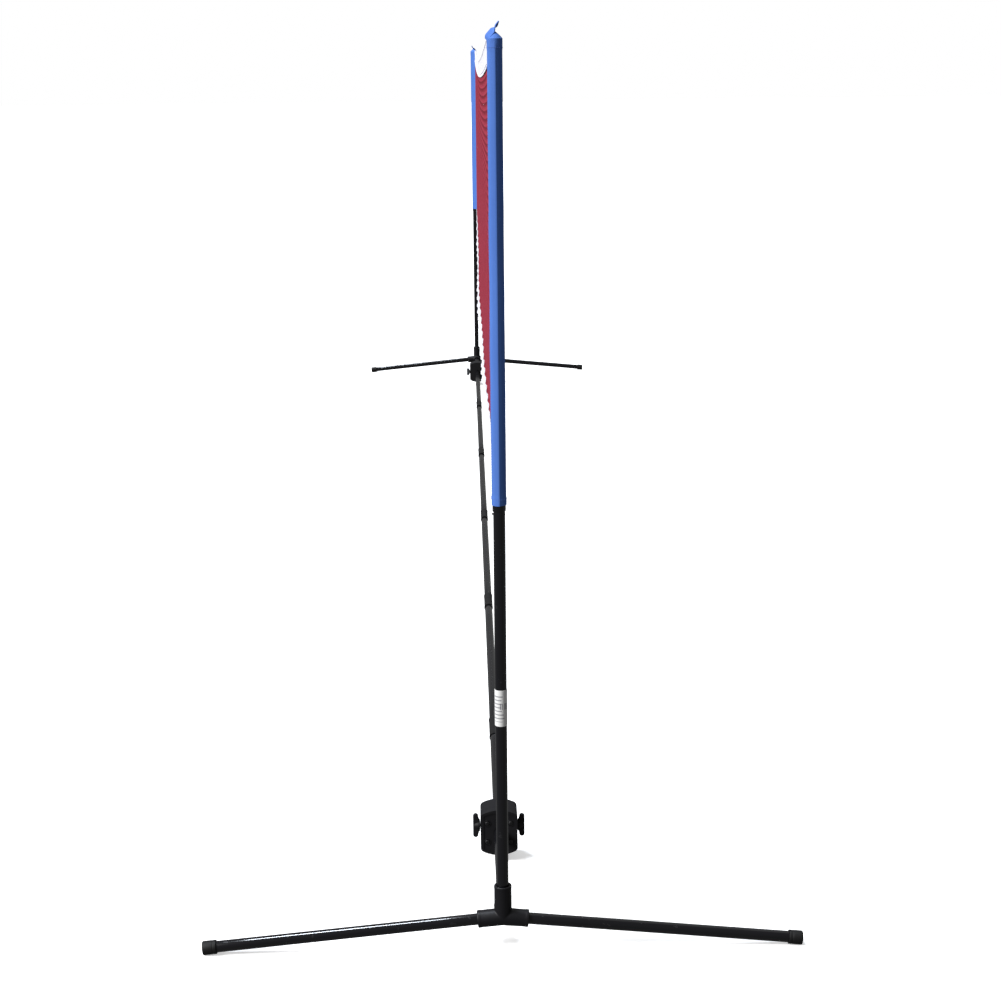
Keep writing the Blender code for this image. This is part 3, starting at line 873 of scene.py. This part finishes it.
def makeSleeve(end, seed):
    size = sleeveSizes
    low, high = ownBox(f"sleeve_{end}", end)
    shoulder = ownBox(f"pole_plug_{end}", end)[1].z + size["shoulderRise"]
    rows = round((shoulder - low.z) / size["rowPitch"])
    domeRows = size["domeRows"]
    sharpRing, girth = sleeveRing(1.0)
    softRing, _ = sleeveRing(0.0)

    def spot(i, j):
        if j <= rows:
            z = low.z + (shoulder - low.z) * j / rows
            into, share = 0.0, 1.0
        else:
            into = (j - rows) / domeRows
            share = 1.0 - 0.985 * into ** 1.25
            z = shoulder + (high.z - shoulder) * into
        pressed = min(1.0, (shoulder - z) / size["hem"]) if z < shoulder else 0.0
        crease = 0.92 * pressed * (0.9 + 0.1 * noise.noise(Vector((0, seed, z * 6))))
        x = softRing[i][0] + (sharpRing[i][0] - softRing[i][0]) * crease
        y = softRing[i][1] + (sharpRing[i][1] - softRing[i][1]) * crease
        outward = Vector((x, y, 0)).normalized()
        slack = max(0.0, y) / size["tail"]
        pull = noise.noise(Vector((x * 40 + seed, y * 30, z * 22))) * (0.35 + 1.6 * slack)
        ripple = noise.noise(Vector((seed, y * 12, z * 9))) * slack * 2.5
        proud = size["wrinkle"] * (pull + 0.15)
        if j <= rows and (z > shoulder - size["hem"] or z < low.z + size["bottomHem"]):
            proud += size["hemProud"]
        x += outward.x * proud + ripple * size["wrinkle"]
        y += outward.y * proud * (1 - slack)
        edge = 0.0008 * noise.noise(Vector((x * 60, y * 60, seed))) if j == 0 else 0.0
        return Vector((x * share, y * share, z + edge))

    def flat(i, j):
        return girth * i / (size["columns"] - 1), j * size["rowPitch"]

    shape = clothGrid(size["columns"], rows + domeRows, spot, flat, True)
    bmesh.ops.recalc_face_normals(shape, faces=shape.faces)
    top = [edge for edge in shape.edges if edge.is_boundary and edge.verts[0].co.z > shoulder]
    bmesh.ops.contextual_create(shape, geom=top)
    shape = thickened(shape, size["thickness"])
    place = endPlace(end)
    sleeve = finished(f"cloth_sleeve_{end}", shape, "blue", "net_and_upper_poles", place,
                      [f"sleeve_{end}"], 26, True)
    threads = bmesh.new()
    pitch = size["stitchPitch"]
    for z in (shoulder - size["hem"] + 0.0015, low.z + size["bottomHem"] - 0.0015):
        for i in range(0, size["columns"] - 1, 2):
            row = round((z - low.z) / (shoulder - low.z) * rows)
            a, b = spot(i, row), spot(i + 1, row)
            up = Vector(((a.x + b.x) / 2, (a.y + b.y) / 2, 0))
            lift = up.normalized() * (size["thickness"] * 0.5)
            a.z = b.z = z
            stitch(threads, a + lift, b + lift, up, size["stitchWidth"])
    seamY = size["tail"] - 0.0045
    count = int((shoulder - low.z - 0.01) / pitch)
    for side in (-1, 1):
        for n in range(count):
            z = low.z + 0.005 + n * pitch
            row = (z - low.z) / (shoulder - low.z) * rows
            column = 1 if side > 0 else size["columns"] - 2
            x = spot(column, round(row)).x + side * size["thickness"] * 0.5
            start = Vector((x + side * 0.0002, seamY, z))
            stitch(threads, start, start + Vector((0, 0, pitch * 0.72)), Vector((side, 0, 0)),
                   size["stitchWidth"])
    finished(f"sleeve_stitches_{end}", threads, "blueThread", "net_and_upper_poles", place, (), 50)
    return shoulder


def ribbonShape(path, sides, width, thickness, flatWidth, rows=3):
    # a flat ribbon along a path, with its own flat coordinates
    reach = [0.0]
    for a, b in zip(path, path[1:]):
        reach.append(reach[-1] + (b - a).length)

    def spot(i, j):
        return path[i] + sides[i] * width(reach[i] / reach[-1]) * (j / rows - 0.5)

    shape = clothGrid(len(path) - 1, rows, spot, lambda i, j: (j / rows * flatWidth, reach[i]))
    return thickened(shape, thickness), reach[-1]


def smoothPath(points, steps=8):
    # a Catmull-Rom curve through the points
    found = []
    padded = [points[0] * 2 - points[1], *points, points[-1] * 2 - points[-2]]
    for p0, p1, p2, p3 in zip(padded, padded[1:], padded[2:], padded[3:]):
        for k in range(steps):
            t = k / steps
            found.append(0.5 * ((2 * p1) + (p2 - p0) * t + (2 * p0 - 5 * p1 + 4 * p2 - p3) * t ** 2
                                + (3 * p1 - p0 - 3 * p2 + p3) * t ** 3))
    return found + [points[-1]]


tabSizes = {
    "width": 0.0110,
    "thickness": 0.0016,
    "flatWidth": 0.009,        # how much of the weave lies across the strap
}


def makeTab(end, shoulder):
    # a pull tab: stitched down at the left, over the crown, and up to a folded point
    peak = ownBox(f"sleeve_{end}", end)[1].z
    crown = [(-0.0116, -0.004, shoulder - 0.003), (-0.0112, -0.004, shoulder + 0.0020),
             (-0.0085, -0.004, shoulder + 0.0058), (-0.0045, -0.002, peak - 0.0008),
             (-0.0002, 0.000, peak + 0.0044), (0.0036, 0.002, peak + 0.0096), (0.0066, 0.002, peak + 0.0152)]
    path = smoothPath([Vector(point) for point in crown], 6)
    # the strap turns over on its way up, so that the tip shows its underside
    sides = []
    for k in range(len(path)):
        twist = 1 - 2 * min(1.0, max(0.0, k / (len(path) - 1) - 0.55) / 0.3)
        sides.append(Vector((-0.52 * twist, 0.66, 0.54 * twist)).normalized())

    def narrow(t):
        return tabSizes["width"] * (1.0 if t < 0.55 else max(0.12, 1 - (t - 0.55) / 0.50))

    shape, length = ribbonShape(path, sides, narrow, tabSizes["thickness"], tabSizes["flatWidth"])
    tab = finished(f"cloth_tab_{end}", shape, "blue", "net_and_upper_poles", endPlace(end),
                   [f"pull_tab_{end}"], 40, True)
    tabSizes["width"] * length * 0.78


for end, seed in (("near", 3.1), ("far", 8.7)):
    makeTab(end, makeSleeve(end, seed))
print("sleeves made")


# net and tapes

netSizes = {
    "mesh": 0.0170,            # one knot to the next
    "twine": 0.0023,           # across the twine, from corner to corner
    "knot": 0.0023,            # from a knot's middle to its corners
    "panels": 4,
    "clothShare": 0.45,        # share of a panel's rectangle that its sheet declares as cloth
    "ruffle": 0.0080,          # how far the lower edge waves to each side
    "ruffleLength": 0.2050,    # one wave to the next
    "ruffleRise": 0.0700,      # height over which the waves die out
    "billow": 0.0080,
    "jitter": 0.0008,
    "tuck": 0.0060,            # how far the net runs up into the tapes
}
tapeSizes = {
    "thickness": 0.0007, "half": 0.0014, "bead": 0.0020, "hem": 0.0013,
    "columns": 520, "stitchPitch": 0.0060, "stitchWidth": 0.0009,
}
topSections = edgesOf("top_tape")
bottomSections = edgesOf("bottom_tape")
netEnd = topSections[-1][0]


def meetLow(y):
    return readAt(bottomSections, y, 2)


def meetHigh(y):
    return readAt(topSections, y, 1)


def swayAt(y, z):
    # where the net stands across its width: from one sleeve's seam to the other's, with its waves
    size = netSizes
    shut = 1 - (abs(y) / netEnd) ** 8
    low = readAt(bottomSections, y, 1)
    near = max(0.0, 1 - max(0.0, z - low) / size["ruffleRise"])
    drift = noise.noise(Vector((y * 1.7, 4.2, 0))) * 0.5
    wave = math.sin(2 * math.pi * (y / size["ruffleLength"] + drift))
    wave += 0.45 * noise.noise(Vector((y * 9, 1.0, 0)))
    lean = size["billow"] * noise.noise(Vector((y * 0.6, z * 1.2, 2.0)))
    high = readAt(topSections, y, 2)
    free = min(1.0, max(0.0, high - 0.05 - z) / 0.2)
    return (size["ruffle"] * wave * near ** 1.5 + lean * free) * shut + sleeveSizes["seam"] * y / netEnd


def knotAt(shape, place, reach):
    # an eight-sided knot, pointed along each way that the twine leaves it
    ends = [shape.verts.new(place + Vector(step) * reach) for step in (
        (0, 1, 0), (0, 0, 1), (0, -1, 0), (0, 0, -1))]
    for side in (0.62, -0.62):
        tip = shape.verts.new(place + Vector((side * reach, 0, 0)))
        for a, b in zip(ends, ends[1:] + ends[:1]):
            shape.faces.new((tip, a, b) if side > 0 else (tip, b, a))


def makeNet():
    # square netting: a grid turned into twine, with a knot at each crossing
    size = netSizes
    random.seed(11)
    step = 2 * netEnd / size["panels"]
    across = round(step / size["mesh"])
    middleHeight = meetHigh(0) - meetLow(0) + 2 * size["tuck"]
    up = round((meetHigh(netEnd) - meetLow(netEnd) + middleHeight) / 2 / size["mesh"])
    for number in range(size["panels"]):
        start = -netEnd + number * step
        grid = bmesh.new()
        bmesh.ops.create_grid(grid, x_segments=across, y_segments=up, size=0.5)
        for vertex in grid.verts:
            y = start + (vertex.co.x + 0.5) * step
            edge = abs(vertex.co.x) > 0.499
            y = min(max(y + (0 if edge else random.uniform(-1, 1) * size["jitter"]), -netEnd), netEnd)
            low = meetLow(y) - size["tuck"]
            z = low + (meetHigh(y) + size["tuck"] - low) * (vertex.co.y + 0.5)
            z += random.uniform(-1, 1) * (0 if edge else size["jitter"])
            vertex.co = Vector((swayAt(y, z), y, z))
        grid.normal_update()
        crossings = [vertex.co.copy() for vertex in grid.verts]
        bmesh.ops.wireframe(grid, faces=grid.faces, thickness=size["twine"], offset=0.0, use_replace=True,
                            use_boundary=True, use_even_offset=False)
        for place in crossings:
            knotAt(grid, place, size["knot"])
        panel = finished(f"netting_{number + 1}", grid, "twine", "net_and_upper_poles", None,
                         ["net_panel"], 80)
        high = meetHigh(start + step / 2) - meetLow(start + step / 2) + 2 * size["tuck"]


def tapeSection(high, waved):
    # the folded tape's middle line, from one lower hem over the cord in its fold and down the other side
    size = tapeSizes
    side = [(-size["half"] - size["hem"] * 0.8, 0.0), (-size["half"] - size["hem"], 0.0012),
            (-size["half"] - size["hem"] * 0.6, 0.0030)]
    side += [(-size["half"], 0.0055 + (high - 0.0130) * i / 5) for i in range(6)]
    over = [(size["bead"] * math.cos(t), high - size["bead"] + size["bead"] * math.sin(t))
            for t in (math.pi * (1 - k / 8) for k in range(9))]
    line = side + over + [(-x, z) for x, z in reversed(side)]
    return line if not waved else [(x, high - z) for x, z in line]


def makeTape(name, node, sections, waved):
    # a tape folded over the edge of the net, and stitched through
    size = tapeSizes
    width = sections[0][2] - sections[0][1]
    line = tapeSection(width, waved)
    reach = [0.0]
    for a, b in zip(line, line[1:]):
        reach.append(reach[-1] + math.dist(a, b))
    columns = size["columns"]
    spots = [-netEnd + 2 * netEnd * i / columns for i in range(columns + 1)]
    flats = [0.0]
    hems = [(y, readAt(sections, y, 1)) for y in spots]
    edge = [Vector((swayAt(y, z), y, z)) for y, z in hems]
    for a, b in zip(edge, edge[1:]):
        flats.append(flats[-1] + (b - a).length)

    def spot(i, j):
        y = spots[i]
        x, z = line[j]
        z += readAt(sections, y, 1)
        pucker = 0.0006 * noise.noise(Vector((y * 30, z * 40, x * 300))) * (1.0 if waved else 0.7)
        return Vector((x + swayAt(y, z) + pucker, y, z))

    shape = clothGrid(columns, len(line) - 1, spot, lambda i, j: (reach[j], flats[i]))
    shape = thickened(shape, size["thickness"])
    tape = finished(name, shape, "white", "net_and_upper_poles", None, [node], 50, True)
    threads = bmesh.new()
    count = int(2 * netEnd / size["stitchPitch"])
    for row in (0.0070, width - 0.0070):
        for side in (-1, 1):
            for n in range(1, count - 1):
                y = -netEnd + n * size["stitchPitch"]
                ends = []
                for into in (0.0, size["stitchPitch"] * 0.70):
                    z = readAt(sections, y + into, 1) + row
                    x = swayAt(y + into, z) + side * (size["half"] + size["thickness"] * 0.75)
                    ends.append(Vector((x, y + into, z)))
                stitch(threads, ends[0], ends[1], Vector((side, 0, 0)), size["stitchWidth"])
    finished(f"{name}_stitches", threads, "whiteThread", "net_and_upper_poles", None, (), 50)


makeNet()
print("netting made")
makeTape("folded_top_tape", "top_tape", topSections, False)
makeTape("gathered_bottom_tape", "bottom_tape", bottomSections, True)
print("tapes made")


# label on the near upright

labelSizes = {
    "proud": 0.0003, "turn": 210.0, "columns": 28, "rows": 8, "curl": 0.0006, "thickness": 0.0002,
}


def makeLabel():
    low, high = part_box("pole_label")
    size = labelSizes
    radius = tubeRadius + size["proud"]
    arcLength = radius * math.radians(size["turn"])
    columns, rows = size["columns"], size["rows"]

    def spot(i, j):
        share = i / columns
        angle = math.radians(-90 + size["turn"] * (share - 0.5))
        lifted = radius + size["curl"] * max(0.0, abs(share - 0.5) * 2 - 0.85) / 0.15
        height = low.z + (high.z - low.z) * j / rows
        return Vector((lifted * math.cos(angle), lifted * math.sin(angle) - uprightY, height))

    shape = clothGrid(columns, rows, spot, lambda i, j: (
        arcLength * i / columns, (high.z - low.z) * j / rows))
    shape = thickened(shape, size["thickness"])
    label = finished("paper_label", shape, "label", "base_frame", None, ["pole_label"], 50, True)


makeLabel()
for name in ("pole_plug_near", "pole_plug_far"):
    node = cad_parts[name]
    node.data.materials.clear()
    node.data.materials.append(finishes["cap"])
print("label made")


# floor, lights and camera

stageSizes = {
    "floorHalf": 60.0,
    "floorDrop": 0.0003,
    "floorTone": tone(0.90, 0.90, 0.90),
    "floorGlow": 0.50,
    "worldTone": tone(1.0, 1.0, 1.0),
    "worldStrength": 0.16,
    "keyStrength": 4.6,
    "keyTurn": (-64.0, 36.0),     # degrees round from the viewer, and above the floor
    "keySoft": 22.0,
    "fillStrength": 0.25,
    "topStrength": 1.9,           # a cool light overhead that draws a line along the left feet
    "topTurn": (-116.6, 76.4),
}
cameraSizes = {
    "place": (-0.0496, -5.9899, 1.5109),
    "yaw": -1.014,
    "pitch": -13.522,
    "roll": -0.546,
    "lens": 66.274,
}


def makeStage():
    size = stageSizes
    flat = bmesh.new()
    bmesh.ops.create_grid(flat, x_segments=1, y_segments=1, size=size["floorHalf"])
    bmesh.ops.translate(flat, verts=flat.verts, vec=(0, 0, -size["floorDrop"]))
    floor = rawObject("floor", flat)
    paint = Finish("pale_floor", Base_Color=size["floorTone"], Roughness=0.9, Specular_IOR_Level=0.1,
                   Emission_Color=size["worldTone"], Emission_Strength=size["floorGlow"])
    floor.data.materials.append(paint.material)
    floor.visible_diffuse = False
    floor.visible_glossy = False
    world = bpy.data.worlds.new("studio")
    bpy.context.scene.world = world
    world.use_nodes = True
    back = world.node_tree.nodes["Background"]
    back.inputs["Color"].default_value = size["worldTone"]
    back.inputs["Strength"].default_value = size["worldStrength"]
    # the same white seen straight on, past the edge of the floor
    seen = world.node_tree.nodes.new("ShaderNodeBackground")
    seen.inputs["Color"].default_value = size["worldTone"]
    ray = world.node_tree.nodes.new("ShaderNodeLightPath")
    chosen = world.node_tree.nodes.new("ShaderNodeMixShader")
    wires = world.node_tree.links
    wires.new(ray.outputs["Is Camera Ray"], chosen.inputs[0])
    wires.new(back.outputs[0], chosen.inputs[1])
    wires.new(seen.outputs[0], chosen.inputs[2])
    wires.new(chosen.outputs[0], world.node_tree.nodes["World Output"].inputs["Surface"])
    bpy.context.scene.view_settings.view_transform = "Standard"
    for word, strength, (turn, rise), soft, color in (
            ("key", size["keyStrength"], size["keyTurn"], size["keySoft"], (1.0, 1.0, 1.0)),
            ("top", size["topStrength"], size["topTurn"], 9.0, (0.84, 0.91, 1.0)),
            ("fill", size["fillStrength"], (150.0, 50.0), 60.0, (1.0, 1.0, 1.0))):
        data = bpy.data.lights.new(word, "SUN")
        data.energy = strength
        data.color = color
        data.angle = math.radians(soft)
        light = bpy.data.objects.new(word, data)
        around, above = math.radians(turn), math.radians(rise)
        flatly = math.cos(above)
        toward = Vector((math.sin(around) * flatly, -math.cos(around) * flatly, math.sin(above)))
        light.rotation_euler = toward.to_track_quat("Z", "Y").to_euler()
        light.location = toward * 8
        bpy.context.scene.collection.objects.link(light)


def makeCamera():
    size = cameraSizes
    data = bpy.data.cameras.new("camera")
    data.lens = size["lens"]
    data.sensor_width = 36.0
    data.clip_start = 0.05
    data.clip_end = 300.0
    camera = bpy.data.objects.new("camera", data)
    turned = (Matrix.Rotation(math.radians(size["yaw"]), 4, "Z")
              @ Matrix.Rotation(math.radians(90 + size["pitch"]), 4, "X")
              @ Matrix.Rotation(math.radians(size["roll"]), 4, "Z"))
    camera.matrix_world = Matrix.Translation(size["place"]) @ turned
    bpy.context.scene.collection.objects.link(camera)
    bpy.context.scene.camera = camera


makeStage()
makeCamera()
print("stage and camera made")
